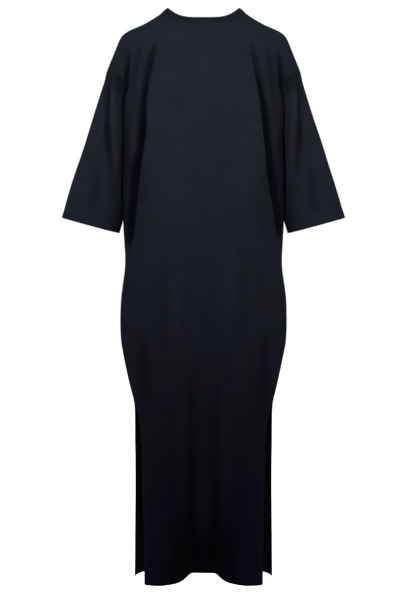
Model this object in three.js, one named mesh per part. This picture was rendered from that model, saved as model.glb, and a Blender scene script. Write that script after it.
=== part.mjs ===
// An ankle-length T-shirt dress in thin jersey, filled out as if worn, with nobody in it.
// Millimetres, +Z up. The origin is the middle of the neck opening, level with the band's two high points.
// The back of the dress faces -Y, and the wearer's left is at -X.
// Each cut piece is a closed wall: an outer skin of points, the same points set inwards,
// and rims along its edges.

import * as THREE from 'three';

// Cloth
const CLOTH = 1.5;
const TURNED_CLOTH = 2.4;
const RIB_CLOTH = 2.0;
const SEAM_GAP = 0.3;
const HEM_TURN = 20;
const STEEPEST_MITRE = 0.45;
const SHARPEST_EDGE_TURN = 0.3;
const SAME_PLACE = 0.01;

// Main heights and widths of the body
const HEM_Z = -1250;
const SLIT_TOP_Z = -870;
const UNDERARM_Z = -276;
const NECK_SIDE = { x: 93, z: -11.5 };
const NECK_BACK = { y: -55, z: -43 };
const NECK_FRONT = { y: 72, z: -110 };
const BAND_SIDE = { x: 78.8, z: 0 };
const BAND_BACK = { y: -42, z: -28 };
const BAND_FRONT = { y: 57, z: -96 };
const ROLL_AT_NECK = 1.92;
const ROLL_AT_ARMHOLE = 2.2;

// Cuff: middle, half width across the body, half depth, and how the opening tilts out and forwards
const CUFF = {
  x: 247.5,
  y: 6,
  z: -477,
  halfWidth: 64.8,
  halfDepth: 56,
  tiltOut: 15.3,
  tiltForward: 3,
  square: 2.2,
};

// How finely the skins are divided
const NECK_COLUMNS = { back: 9, front: 8 };
const SHOULDER_COLUMNS = 12;
const SIDE_ROWS = 13;
const SLIT_ROWS = 8;
const ARMHOLE_ROWS = 12;
const SLEEVE_ROWS = 10;
const BAND_ROWS = 3;
const SECTION_STEPS = 240;
const FOLD_COLUMNS = 2;
const FOLD_FREE_STEPS = 2;
const GUIDE_END_Z = -545;
const EVEN_FROM_Z = -760;
const ROW_CROWDING = 1.4;
const SCOOP_REACH = 0.5;
const ARMHOLE_REACH = { underarm: 0.12, shoulder: 0.4 };
const INNER_SIDE_POWER = 3;
const INNER_SIDE_TURN = 0.35;

function table(columns, rows) {
  return rows.map((row) => Object.fromEntries(columns.map((name, index) => [name, row[index]])));
}

// Level cuts through the body, from the underarm to the hem: half width at the side seam,
// how far the back and the front stand out, and how square each is.
const LEVELS = table(['z', 'side', 'back', 'front', 'squareBack', 'squareFront'], [
  [-276, 174.5, 105, 104, 2.2, 2.2],
  [-340, 176.4, 104, 104, 2.2, 2.2],
  [-473, 176.3, 101, 102, 2.2, 2.2],
  [-515, 173.3, 100, 101, 2.2, 2.2],
  [-564, 171.1, 100, 100, 2.2, 2.2],
  [-600, 176.0, 103, 101, 2.2, 2.2],
  [-641, 180.6, 107, 102, 2.2, 2.2],
  [-690, 181.9, 110, 103, 2.2, 2.2],
  [-729, 180.2, 111, 104, 2.2, 2.2],
  [-772, 172.4, 110, 105, 2.2, 2.2],
  [-816, 163.1, 106, 107, 2.2, 2.2],
  [-870, 151.0, 101, 109, 2.2, 2.2],
  [-950, 134.5, 96, 115, 2.3, 2.1],
  [-1030, 133.0, 92, 120, 2.6, 2.1],
  [-1145, 129.3, 90, 125, 2.8, 2.1],
  [-1250, 125.5, 87, 130, 3.0, 2.1],
]);

// The open edges of the side slits, on the +X side.
const SLIT_EDGES = table(['z', 'backX', 'backY', 'frontX', 'frontY'], [
  [-870, 151.0, 0, 151.0, 0],
  [-878, 145.5, -4, 150.5, 4],
  [-919, 138.2, -12, 149.5, 9],
  [-946, 134.7, -20, 149.3, 12],
  [-1032, 133.0, -32, 149.0, 17],
  [-1145, 129.3, -46, 149.3, 20],
  [-1250, 125.5, -59, 149.8, 24],
]);

// Broad hanging folds of the skirt: where each runs, how deep it pushes into the dress, and its half width.
const BACK_DRAPES = [
  table(['z', 'x', 'depth', 'reach'], [
    [-700, 0, 0, 55],
    [-760, 0, 8, 60],
    [-815, 0, 26, 66],
    [-870, 0, 52, 74],
    [-950, 0, 95, 82],
    [-1030, 0, 115, 88],
    [-1145, 0, 135, 93],
    [-1250, 0, 155, 97],
  ]),
];
const FRONT_DRAPES = [
  table(['z', 'x', 'depth', 'reach'], [
    [-740, -70, 0, 40],
    [-870, -74, 12, 42],
    [-1030, -78, 22, 44],
    [-1250, -80, 28, 46],
  ]),
  table(['z', 'x', 'depth', 'reach'], [
    [-720, 66, 0, 40],
    [-870, 72, 14, 42],
    [-1030, 77, 23, 44],
    [-1250, 78, 30, 47],
  ]),
];

// Narrow folds, set in along the skin's own normal: those of the back are as shown,
// those of the front are like them.
// The first two of each panel start at the neck's two corners, and the panel's columns run along them.
const BACK_FOLDS = [
  table(['z', 'x', 'depth', 'reach'], [
    [-70, -98, 0, 10],
    [-112, -108, 6, 12],
    [-185, -123, 11, 14],
    [-274, -133, 14, 16],
    [-363, -147, 14, 17],
    [-481, -159, 11, 16],
    [-545, -166, 0, 14],
  ]),
  table(['z', 'x', 'depth', 'reach'], [
    [-72, 100, 0, 10],
    [-131, 112, 6, 12],
    [-202, 128, 11, 14],
    [-289, 140, 13, 16],
    [-363, 147, 13, 16],
    [-452, 161, 10, 15],
    [-515, 166, 0, 14],
  ]),
  table(['z', 'x', 'depth', 'reach'], [
    [-80, -162, 0, 9],
    [-120, -164, 5, 10],
    [-172, -167, 8, 10],
    [-200, -171, 0, 10],
  ]),
  table(['z', 'x', 'depth', 'reach'], [
    [-80, 162, 0, 9],
    [-120, 164, 5, 10],
    [-172, 167, 8, 10],
    [-200, 171, 0, 10],
  ]),
];
const FRONT_FOLDS = [
  table(['z', 'x', 'depth', 'reach'], [
    [-90, -112, 0, 11],
    [-185, -127, 9, 14],
    [-300, -139, 12, 17],
    [-420, -150, 8, 16],
    [-500, -158, 0, 14],
  ]),
  table(['z', 'x', 'depth', 'reach'], [
    [-84, 110, 0, 11],
    [-170, 124, 10, 14],
    [-290, 137, 12, 17],
    [-440, 152, 9, 16],
    [-530, 160, 0, 14],
  ]),
];

// Creases and ridges (negative depth) of the sleeves, on the +X side.
const SLEEVE_BACK_FOLDS = [
  table(['z', 'x', 'depth', 'reach'], [
    [-150, 205, 0, 14],
    [-195, 210, 6, 15],
    [-285, 206, 6, 15],
    [-361, 197, 0, 14],
  ]),
  table(['z', 'x', 'depth', 'reach'], [
    [-160, 197, 0, 12],
    [-210, 196, -3, 13],
    [-330, 192, -3, 13],
    [-380, 189, 0, 12],
  ]),
];
const SLEEVE_FRONT_FOLDS = [
  table(['z', 'x', 'depth', 'reach'], [
    [-160, 208, 0, 14],
    [-220, 211, 6, 15],
    [-340, 204, 0, 14],
  ]),
];

// The shoulder seam on the +X side, from the neck seam out to the armhole seam, all at y = 0.
const SHOULDER_LINE = table(['x', 'z'], [
  [93, -11.5],
  [101.3, -17.6],
  [130.4, -35.2],
  [166.2, -52.8],
  [177.7, -61.5],
  [184.3, -70.3],
  [193.5, -92.3],
  [202.3, -114.2],
  [212.6, -139],
]);

// The armhole seam over the back of the +X side, from the underarm up to the shoulder seam.
const ARMHOLE_LINE = table(['x', 'y', 'z'], [
  [179.5, 0, -268],
  [176, -28, -236],
  [171, -42, -195],
  [169.5, -50, -173],
  [182.5, -60, -159],
  [196, -40, -150],
  [212.6, 0, -139],
]);
const ARMHOLE_FRONT_DEPTH = 0.96;

// How far the armhole is scooped out of the panel's side, as a share of its half width,
// along the seam from the underarm up.
const ARMHOLE_SCOOP = table(['along', 'scoop'], [
  [0, 0],
  [0.22, 0.12],
  [0.44, 0.18],
  [0.55, 0.21],
  [0.66, 0.21],
  [0.78, 0.12],
  [1, 0],
]);

// How the sleeve's tube departs from straight lines between armhole and cuff: along is the share of
// its length, inward moves its inner side towards the body, forward moves all of it to +Y,
// clear is how far it stays off the body.
const SLEEVE_SHAPE = table(['along', 'inward', 'forward', 'clear'], [
  [0, 0, 0, 0],
  [0.06, 0.5, 2, 6],
  [0.15, 9, 4, 5],
  [0.3, 14, 8, 3],
  [0.5, 14, 10, 3],
  [0.85, 9, 5, 3],
  [1, 0, 0, 3],
]);

// Smooth value of one named column between the rows of a table, without overshooting them.
function tableValue(rows, key, name, at) {
  const rising = rows[rows.length - 1][key] > rows[0][key];
  const ordered = rising ? rows : [...rows].reverse();
  const last = ordered.length - 1;
  if (at <= ordered[0][key]) return ordered[0][name];
  if (at >= ordered[last][key]) return ordered[last][name];
  const index = ordered.findIndex((row) => row[key] > at) - 1;
  const rise = (k) => ordered[k + 1][name] - ordered[k][name];
  const slope = (k) => rise(k) / (ordered[k + 1][key] - ordered[k][key]);
  const tangent = (k) => {
    if (k === 0) return slope(0);
    if (k === last) return slope(last - 1);
    const before = slope(k - 1);
    const after = slope(k);
    return before * after > 0 ? (2 * before * after) / (before + after) : 0;
  };
  const low = ordered[index];
  const high = ordered[index + 1];
  const span = high[key] - low[key];
  const t = (at - low[key]) / span;
  return low[name] * (1 + 2 * t) * (1 - t) ** 2 + high[name] * t * t * (3 - 2 * t)
    + span * (tangent(index) * t * (1 - t) ** 2 - tangent(index + 1) * t * t * (1 - t));
}

function power(value, exponent) {
  return Math.sign(value) * Math.abs(value) ** exponent;
}

// A hollow with a round floor and round shoulders: 1 in its middle, 0 from its reach outwards.
function trough(distance, reach) {
  const share = Math.min(1, Math.abs(distance) / reach);
  return Math.cos((share * Math.PI) / 2) ** 2;
}

function foldDepth(folds, x, z) {
  let depth = 0;
  for (const fold of folds) {
    const middle = tableValue(fold, 'z', 'x', z);
    const reach = tableValue(fold, 'z', 'reach', z);
    depth += tableValue(fold, 'z', 'depth', z) * trough(x - middle, reach);
  }
  return depth;
}

// Points at even shares of the length of a line of points.
function alongLine(points, shares) {
  const lengths = [0];
  for (let k = 1; k < points.length; k += 1) {
    lengths.push(lengths[k - 1] + points[k].distanceTo(points[k - 1]));
  }
  const whole = lengths[lengths.length - 1];
  return shares.map((share) => {
    const target = share * whole;
    let k = 1;
    while (k < points.length - 1 && lengths[k] < target) k += 1;
    const t = (target - lengths[k - 1]) / (lengths[k] - lengths[k - 1]);
    return points[k - 1].clone().lerp(points[k], t);
  });
}

function smoothLine(rows, steps) {
  const corners = rows.map((row) => new THREE.Vector3(row.x, row.y ?? 0, row.z));
  return new THREE.CatmullRomCurve3(corners, false, 'centripetal').getSpacedPoints(steps);
}

// 1 at 0, falling smoothly to 0 at 1 and beyond.
function easeOut(distance) {
  const t = Math.min(1, distance);
  return (1 - t) ** 2 * (1 + 2 * t);
}

// Where among a row's columns a share of the half width lies, counted in columns,
// on the row's -X (side 0) or +X (side 1) half.
function columnPlace(shares, side, share) {
  const last = shares.length - 1;
  const fromEdge = (k) => (side === 0 ? k : last - k);
  let k = 0;
  while (k < last / 2 - 1 && shares[fromEdge(k + 1)] > share) k += 1;
  const outer = shares[fromEdge(k)];
  const inner = shares[fromEdge(k + 1)];
  const place = k + Math.min(1, (outer - share) / (outer - inner));
  return fromEdge(place);
}

function pointAt(row, place) {
  const low = Math.min(row.length - 2, Math.floor(place));
  return row[low].clone().lerp(row[low + 1], place - low);
}

function evenShares(count) {
  return Array.from({ length: count + 1 }, (_, k) => k / count);
}

// The two body panels and what sets them apart: facing is the sign of y.
const BACK = {
  facing: -1,
  neckColumns: NECK_COLUMNS.back,
  depth: 'back',
  square: 'squareBack',
  edgeX: 'backX',
  edgeY: 'backY',
  drapes: BACK_DRAPES,
  folds: BACK_FOLDS,
  neck: NECK_BACK,
  band: BAND_BACK,
};
const FRONT = {
  facing: 1,
  neckColumns: NECK_COLUMNS.front,
  depth: 'front',
  square: 'squareFront',
  edgeX: 'frontX',
  edgeY: 'frontY',
  drapes: FRONT_DRAPES,
  folds: FRONT_FOLDS,
  neck: NECK_FRONT,
  band: BAND_FRONT,
};

// Shares of a half panel's width, 0 at its middle and 1 at its side, at which the columns lie:
// crowded along the long fold above the waist, even below the hips.
function columnShares(panel, z, foldShare, reachShare) {
  const between = (from, to, count) => evenShares(count).map((share) => from + (to - from) * share);
  const foldStart = foldShare - reachShare;
  const foldEnd = Math.min(foldShare + reachShare, (foldShare + 1) / 2);
  const guided = [
    ...between(0, foldStart, panel.neckColumns - FOLD_COLUMNS).slice(0, -1),
    ...between(foldStart, foldShare, FOLD_COLUMNS).slice(0, -1),
    ...between(foldShare, foldEnd, FOLD_COLUMNS).slice(0, -1),
    ...between(foldEnd, 1, SHOULDER_COLUMNS - FOLD_COLUMNS),
  ];
  const even = evenShares(guided.length - 1);
  const blend = THREE.MathUtils.smoothstep(z, EVEN_FROM_Z, GUIDE_END_Z);
  return guided.map((share, k) => even[k] + (share - even[k]) * blend);
}

// Share of the length of a line of points that lies within a distance x of the middle.
function shareAtX(line, x) {
  let before = 0;
  let whole = 0;
  for (let k = 1; k < line.length; k += 1) {
    const step = line[k].distanceTo(line[k - 1]);
    whole += step;
    if (Math.abs(line[k].x) <= x) before += step;
  }
  return before / whole;
}

// A level cut through one panel at height z, from its -X edge to its +X edge.
function levelLine(panel, z) {
  const slit = z < SLIT_TOP_Z;
  const edgeX = slit ? tableValue(SLIT_EDGES, 'z', panel.edgeX, z) : tableValue(LEVELS, 'z', 'side', z);
  const edgeY = slit ? tableValue(SLIT_EDGES, 'z', panel.edgeY, z) : 0;
  const depth = tableValue(LEVELS, 'z', panel.depth, z) - panel.facing * edgeY;
  const round = 2 / tableValue(LEVELS, 'z', panel.square, z);
  return evenShares(SECTION_STEPS).map((share) => {
    const angle = (share - 0.5) * Math.PI;
    const x = edgeX * power(Math.sin(angle), round);
    let y = edgeY + panel.facing * depth * Math.cos(angle) ** round;
    for (const drape of panel.drapes) {
      const reach = tableValue(drape, 'z', 'reach', z);
      const middle = tableValue(drape, 'z', 'x', z);
      y -= panel.facing * tableValue(drape, 'z', 'depth', z) * trough(x - middle, reach);
    }
    return new THREE.Vector3(x, y, z);
  });
}

// The columns' shares on the -X and the +X half of a level cut.
function rowShares(panel, z, halves) {
  return halves.map((half, index) => {
    const fold = panel.folds[index];
    const x = Math.abs(tableValue(fold, 'z', 'x', z));
    const middle = shareAtX(half, x);
    const reach = middle - shareAtX(half, x - tableValue(fold, 'z', 'reach', z));
    return columnShares(panel, z, middle, reach);
  });
}

function levelRow(panel, z) {
  const line = levelLine(panel, z);
  const halves = [line.slice(0, SECTION_STEPS / 2 + 1).reverse(), line.slice(SECTION_STEPS / 2)];
  const shares = rowShares(panel, z, halves);
  const [left, right] = halves.map((half, index) => alongLine(half, shares[index]));
  return {
    points: [...left.reverse(), ...right.slice(1)],
    shares: [...shares[0].reverse(), ...shares[1].slice(1)],
  };
}

// The point of the neck seam or of the band's upper edge at an angle from the middle of the panel.
function ringPoint(side, middle, angle) {
  const x = side.x * Math.sin(angle);
  const z = side.z + (middle.z - side.z) * Math.cos(angle);
  return new THREE.Vector3(x, middle.y * Math.cos(angle), z);
}

// The panel's upper edge: shoulder seam, neck seam, shoulder seam.
function topRow(panel) {
  const shoulder = alongLine(smoothLine(SHOULDER_LINE, SECTION_STEPS), evenShares(SHOULDER_COLUMNS));
  const neck = evenShares(panel.neckColumns * 2).map((share) => (
    ringPoint(NECK_SIDE, panel.neck, (share - 0.5) * Math.PI)
  ));
  const mirrored = shoulder.map((point) => new THREE.Vector3(-point.x, point.y, point.z));
  return [...mirrored.slice(1).reverse(), ...neck, ...shoulder.slice(1)];
}

// The armhole seam of one side of one panel, from the underarm to the shoulder.
function armholeLine(facing, side) {
  const depth = facing < 0 ? 1 : ARMHOLE_FRONT_DEPTH;
  const line = alongLine(smoothLine(ARMHOLE_LINE, SECTION_STEPS), evenShares(ARMHOLE_ROWS));
  return line.map((point) => new THREE.Vector3(point.x * side, -point.y * depth * facing, point.z));
}

// A column of the panel from the underarm level, rolling over to the upper edge.
function rollPoint(low, high, share, fromFold) {
  const outward = THREE.MathUtils.smoothstep(fromFold, 0, 1);
  const round = 2 / THREE.MathUtils.lerp(ROLL_AT_NECK, ROLL_AT_ARMHOLE, outward);
  const endCos = Math.abs(low.y) < 1 ? 0 : Math.min(1, Math.max(0, high.y / low.y));
  const endAngle = Math.acos(endCos ** (1 / round));
  const angle = endAngle * share;
  const cos = Math.cos(angle) ** round;
  const rise = Math.sin(angle) ** round / Math.sin(endAngle) ** round;
  const turn = (1 - cos) / (1 - endCos);
  return new THREE.Vector3(
    low.x + (high.x - low.x) * THREE.MathUtils.lerp(rise, turn, outward),
    low.y * cos,
    low.z + (high.z - low.z) * rise,
  );
}

function panelRows(panel) {
  const heights = [HEM_Z, HEM_Z + HEM_TURN];
  for (let k = 1; k <= SLIT_ROWS; k += 1) {
    heights.push(HEM_Z + HEM_TURN + ((SLIT_TOP_Z - HEM_Z - HEM_TURN) * k) / SLIT_ROWS);
  }
  for (let k = 1; k < SIDE_ROWS; k += 1) {
    heights.push(SLIT_TOP_Z + ((UNDERARM_Z - SLIT_TOP_Z) * k) / SIDE_ROWS);
  }
  const rows = heights.map((z) => levelRow(panel, z).points);
  const { points: low, shares } = levelRow(panel, UNDERARM_Z);
  const high = topRow(panel);
  const last = low.length - 1;
  const armholes = [armholeLine(panel.facing, -1), armholeLine(panel.facing, 1)];
  const foldShares = [shares[SHOULDER_COLUMNS], shares[last - SHOULDER_COLUMNS]];
  for (let k = 0; k <= ARMHOLE_ROWS; k += 1) {
    const along = k / ARMHOLE_ROWS;
    const scoop = tableValue(ARMHOLE_SCOOP, 'along', 'scoop', along);
    const plain = shares.map((share, column) => {
      const side = column * 2 > last ? 1 : 0;
      const cut = share - scoop * easeOut((1 - share) / SCOOP_REACH);
      const place = columnPlace(shares, side, cut);
      const fromFold = (cut - foldShares[side]) / (1 - foldShares[side]);
      return rollPoint(pointAt(low, place), pointAt(high, place), along ** ROW_CROWDING, fromFold);
    });
    const shifts = [
      armholes[0][k].clone().sub(plain[0]),
      armholes[1][k].clone().sub(plain[last]),
    ];
    const widening = THREE.MathUtils.smoothstep(along, 0, 0.5);
    const reach = THREE.MathUtils.lerp(ARMHOLE_REACH.underarm, ARMHOLE_REACH.shoulder, widening);
    rows.push(plain.map((point, column) => {
      const shift = shifts[column * 2 > last ? 1 : 0];
      return point.clone().addScaledVector(shift, easeOut((1 - shares[column]) / reach));
    }));
  }
  return rows;
}

// Unit normals of a grid of points, with one-sided steps at its edges unless the grid closes round.
function gridNormals(rows, closed, sign) {
  const columns = rows[0].length;
  return rows.map((row, r) => row.map((_, c) => {
    const left = closed ? (c + columns - 1) % columns : Math.max(0, c - 1);
    const right = closed ? (c + 1) % columns : Math.min(columns - 1, c + 1);
    const across = row[right].clone().sub(row[left]);
    const up = rows[Math.min(rows.length - 1, r + 1)][c].clone().sub(rows[Math.max(0, r - 1)][c]);
    return across.cross(up).normalize().multiplyScalar(sign);
  }));
}

// Moves a grid in by its folds, fading out over the last steps before a seam.
function addFolds(rows, normals, depthAt, guardAt) {
  return rows.map((row, r) => row.map((point, c) => (
    point.clone().addScaledVector(normals[r][c], -depthAt(point) * guardAt(r, c))
  )));
}

function foldedPanel(panel) {
  const rows = panelRows(panel);
  const normals = gridNormals(rows, false, -panel.facing);
  const lastRow = rows.length - 1;
  const lastColumn = rows[0].length - 1;
  const guard = (r, c) => Math.min(1, Math.min(c, lastColumn - c, lastRow - r) / FOLD_FREE_STEPS);
  return addFolds(rows, normals, (point) => foldDepth(panel.folds, point.x, point.z), guard);
}

function cuffPoint(side, angle) {
  const round = 2 / CUFF.square;
  const across = CUFF.halfWidth * power(Math.cos(angle), round);
  const deep = -CUFF.halfDepth * power(Math.sin(angle), round);
  const tilt = THREE.MathUtils.degToRad(CUFF.tiltOut);
  return new THREE.Vector3(
    side * (CUFF.x + across * Math.cos(tilt)),
    CUFF.y + deep,
    CUFF.z + across * Math.sin(tilt) + deep * Math.sin(THREE.MathUtils.degToRad(CUFF.tiltForward)),
  );
}

// How far the body reaches sideways below the armholes, at a depth y and a height z.
function bodyHalfWidth(y, z) {
  const panel = y < 0 ? BACK : FRONT;
  const square = tableValue(LEVELS, 'z', panel.square, z);
  const depth = Math.min(1, Math.abs(y) / tableValue(LEVELS, 'z', panel.depth, z));
  return tableValue(LEVELS, 'z', 'side', z) * (1 - depth ** square) ** (1 / square);
}

// Rings of the sleeve from the armhole seam to the cuff, each from the shoulder round by the back.
function sleeveRows(side) {
  const back = armholeLine(-1, side).reverse();
  const front = armholeLine(1, side);
  const armhole = [...back, ...front.slice(1, -1)];
  const cuff = armhole.map((_, k) => cuffPoint(side, (Math.PI * k) / ARMHOLE_ROWS));
  const rows = [];
  for (let r = 0; r <= SLEEVE_ROWS + 1; r += 1) {
    rows.push(armhole.map((point, k) => {
      const turned = HEM_TURN / point.distanceTo(cuff[k]);
      const along = r > SLEEVE_ROWS ? 1 : (r / SLEEVE_ROWS) * (1 - turned);
      const angle = (Math.PI * k) / ARMHOLE_ROWS;
      const innerSide = ((1 - Math.cos(angle - INNER_SIDE_TURN)) / 2) ** INNER_SIDE_POWER;
      const moved = point.clone().lerp(cuff[k], along);
      moved.y += tableValue(SLEEVE_SHAPE, 'along', 'forward', along);
      const inward = tableValue(SLEEVE_SHAPE, 'along', 'inward', along) * innerSide;
      const nearest = bodyHalfWidth(moved.y, moved.z) + tableValue(SLEEVE_SHAPE, 'along', 'clear', along);
      moved.x = side * Math.max(Math.abs(moved.x) - inward, nearest);
      return moved;
    }));
  }
  return rows;
}

function foldedSleeve(side) {
  const rows = sleeveRows(side);
  const normals = gridNormals(rows, true, side);
  const foldsAt = (point) => (point.y < 0 ? SLEEVE_BACK_FOLDS : SLEEVE_FRONT_FOLDS);
  const depthAt = (point) => foldDepth(foldsAt(point), point.x * side, point.z);
  const guard = (r) => Math.min(1, r / FOLD_FREE_STEPS);
  return addFolds(rows, normals, depthAt, guard);
}

// Rings of the neckband from the neck seam to its folded upper edge.
function bandRows() {
  return evenShares(BAND_ROWS).map((share) => {
    const ring = [];
    for (const panel of [BACK, FRONT]) {
      const count = panel.neckColumns * 2;
      for (let k = 0; k < count; k += 1) {
        const angle = -panel.facing * (k / count - 0.5) * Math.PI;
        const low = ringPoint(NECK_SIDE, panel.neck, angle);
        const high = ringPoint(BAND_SIDE, panel.band, angle);
        ring.push(low.lerp(high, share));
      }
    }
    return ring;
  });
}

// Outward directions shared by every piece that has a point in the same place, so that walls meet
// along a seam. Body, sleeves and band each count once there, however many of their pieces meet.
const seamNormals = new Map();

function placeKey(point) {
  return point.toArray().map((value) => Math.round(value / SAME_PLACE)).join(' ');
}

function registerNormals(rows, normals, layer) {
  rows.forEach((row, r) => row.forEach((point, c) => {
    const key = placeKey(point);
    if (!seamNormals.has(key)) seamNormals.set(key, {});
    const layers = seamNormals.get(key);
    layers[layer] = (layers[layer] ?? new THREE.Vector3()).add(normals[r][c]);
  }));
}

// The outward direction at a point, and how much further a wall reaches along it where a seam bends.
function seamDirection(point) {
  const layers = Object.values(seamNormals.get(placeKey(point))).map((part) => part.clone().normalize());
  const direction = layers.reduce((sum, part) => sum.add(part), new THREE.Vector3()).normalize();
  const mitre = Math.max(STEEPEST_MITRE, direction.dot(layers[0]));
  return { direction, reach: 1 / mitre };
}

// Steps along the closed edge of a piece, each set back by half the seam gap where it is sewn.
function edgeSetBack(edge, sewn, normalAt, insideAt) {
  const count = edge.length;
  const sideways = (a, b) => {
    if (!sewn(a, b)) return new THREE.Vector3();
    const along = b.point.clone().sub(a.point);
    const across = along.cross(normalAt(a).clone().add(normalAt(b))).normalize();
    const inside = insideAt(a).add(insideAt(b));
    return across.dot(inside) < 0 ? across.negate() : across;
  };
  return edge.map((spot, k) => {
    const before = sideways(edge[(k + count - 1) % count], spot);
    const after = sideways(spot, edge[(k + 1) % count]);
    const both = before.clone().add(after);
    const sewnTwice = before.length() * after.length() > 0;
    const spread = sewnTwice ? Math.max(SHARPEST_EDGE_TURN, 1 + before.dot(after)) : 1;
    return both.multiplyScalar(SEAM_GAP / 2 / spread);
  });
}

// The edge that is sewn or left open: the first ring of a tube, or all round an open grid.
function edgeOf(rows, closed) {
  const lastRow = rows.length - 1;
  const lastColumn = rows[0].length - 1;
  const at = (r, c) => ({ r, c, point: rows[r][c] });
  if (closed) return rows[0].map((_, c) => at(0, c));
  const edge = [];
  for (let c = 0; c < lastColumn; c += 1) edge.push(at(0, c));
  for (let r = 0; r < lastRow; r += 1) edge.push(at(r, lastColumn));
  for (let c = lastColumn; c > 0; c -= 1) edge.push(at(lastRow, c));
  for (let r = lastRow; r > 0; r -= 1) edge.push(at(r, 0));
  return edge;
}

// Closed wall over a grid: thickness is a function of row and column.
function wallGeometry(rows, closed, thicknessAt, sewn) {
  const lastRow = rows.length - 1;
  const lastColumn = rows[0].length - 1;
  const outer = rows.map((row) => row.map((point) => point.clone()));
  const shared = rows.map((row) => row.map(seamDirection));
  const insideAt = (spot) => {
    const r = THREE.MathUtils.clamp(spot.r, 1, lastRow - 1);
    const c = closed ? spot.c : THREE.MathUtils.clamp(spot.c, 1, lastColumn - 1);
    return rows[r][c].clone().sub(spot.point);
  };
  const edge = edgeOf(rows, closed);
  const shifts = edgeSetBack(edge, sewn, (spot) => shared[spot.r][spot.c].direction, insideAt);
  edge.forEach((spot, k) => outer[spot.r][spot.c].add(shifts[k]));
  const inner = outer.map((row, r) => row.map((point, c) => (
    point.clone().addScaledVector(shared[r][c].direction, -thicknessAt(r, c) * shared[r][c].reach)
  )));
  return skinGeometry(outer, inner, closed);
}

function skinGeometry(outer, inner, closed) {
  const rowCount = outer.length;
  const columns = outer[0].length;
  const faces = [];
  const outside = (r, c) => r * columns + (c % columns);
  const inside = (r, c) => rowCount * columns + outside(r, c);
  const points = [...outer.flat(), ...inner.flat()];
  // A square is split along the shorter diagonal of the outer skin.
  const quad = ([a, b, c, d], outerCorners) => {
    const [p, q, r, t] = outerCorners.map((index) => points[index]);
    if (p.distanceTo(r) <= q.distanceTo(t)) faces.push(a, b, c, a, c, d);
    else faces.push(a, b, d, b, c, d);
  };
  // A rim is split from its higher outer corner, so that the rims of two pieces that meet lie side by side.
  const rim = (a, b, insideB, insideA) => {
    if (points[a].z > points[b].z) faces.push(a, b, insideB, a, insideB, insideA);
    else faces.push(a, b, insideA, b, insideB, insideA);
  };
  const steps = closed ? columns : columns - 1;
  for (let r = 0; r < rowCount - 1; r += 1) {
    for (let c = 0; c < steps; c += 1) {
      const skin = [outside(r, c), outside(r, c + 1), outside(r + 1, c + 1), outside(r + 1, c)];
      const lining = [inside(r, c), inside(r + 1, c), inside(r + 1, c + 1), inside(r, c + 1)];
      quad(skin, skin);
      quad(lining, [skin[0], skin[3], skin[2], skin[1]]);
    }
    if (!closed) {
      const last = columns - 1;
      rim(outside(r, 0), outside(r + 1, 0), inside(r + 1, 0), inside(r, 0));
      rim(outside(r + 1, last), outside(r, last), inside(r, last), inside(r + 1, last));
    }
  }
  const top = rowCount - 1;
  for (let c = 0; c < steps; c += 1) {
    rim(outside(0, c + 1), outside(0, c), inside(0, c), inside(0, c + 1));
    rim(outside(top, c), outside(top, c + 1), inside(top, c + 1), inside(top, c));
  }
  const positions = points.flatMap((point) => point.toArray());
  const geometry = new THREE.BufferGeometry();
  geometry.setAttribute('position', new THREE.Float32BufferAttribute(positions, 3));
  geometry.setIndex(signedVolume(positions, faces) < 0 ? flipped(faces) : faces);
  geometry.computeVertexNormals();
  return geometry;
}

function signedVolume(positions, faces) {
  const corner = (index) => new THREE.Vector3().fromArray(positions, index * 3);
  let volume = 0;
  for (let k = 0; k < faces.length; k += 3) {
    volume += corner(faces[k]).dot(corner(faces[k + 1]).cross(corner(faces[k + 2])));
  }
  return volume;
}

function flipped(faces) {
  const turned = [];
  for (let k = 0; k < faces.length; k += 3) turned.push(faces[k], faces[k + 2], faces[k + 1]);
  return turned;
}

const jersey = () => new THREE.MeshStandardMaterial({ color: 0x1d1f27, roughness: 0.92, metalness: 0 });
const rib = () => new THREE.MeshStandardMaterial({ color: 0x1a1c24, roughness: 0.94, metalness: 0 });

// Every piece: its points, whether they close round, its cloth and where it is sewn.
function pieces() {
  const list = [];
  for (const [name, panel] of [['back_panel', BACK], ['front_panel', FRONT]]) {
    const rows = foldedPanel(panel);
    const lastColumn = rows[0].length - 1;
    const slitTop = 1 + SLIT_ROWS;
    list.push({
      name,
      layer: 'body',
      rows,
      closed: false,
      sign: -panel.facing,
      material: jersey(),
      thickness: (r, c) => {
        const turned = r <= 1 || (r < slitTop && (c === 0 || c === lastColumn));
        return turned ? TURNED_CLOTH : CLOTH;
      },
      sewn: (a, b) => Math.max(a.r, b.r) > slitTop,
    });
  }
  for (const [name, side] of [['sleeve_left', -1], ['sleeve_right', 1]]) {
    list.push({
      name,
      layer: 'sleeve',
      rows: foldedSleeve(side),
      closed: true,
      sign: side,
      material: jersey(),
      thickness: (r) => (r >= SLEEVE_ROWS ? TURNED_CLOTH : CLOTH),
      sewn: () => true,
    });
  }
  list.push({
    name: 'neckband',
    layer: 'band',
    rows: bandRows(),
    closed: true,
    sign: 1,
    material: rib(),
    thickness: (r) => (r === 0 ? CLOTH : RIB_CLOTH),
    sewn: () => true,
  });
  return list;
}

const group = new THREE.Group();
const all = pieces();
for (const { rows, closed, sign, layer } of all) {
  registerNormals(rows, gridNormals(rows, closed, sign), layer);
}
for (const piece of all) {
  const geometry = wallGeometry(piece.rows, piece.closed, piece.thickness, piece.sewn);
  const mesh = new THREE.Mesh(geometry, piece.material);
  mesh.name = piece.name;
  group.add(mesh);
}

export default group;
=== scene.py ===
"""An ankle-length T-shirt dress in thin blue-black jersey, filled out as if worn, seen from behind.

The garment's own sizes are in millimetres, as on its pattern. They become metres when a mesh is made.
"""

import math

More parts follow.
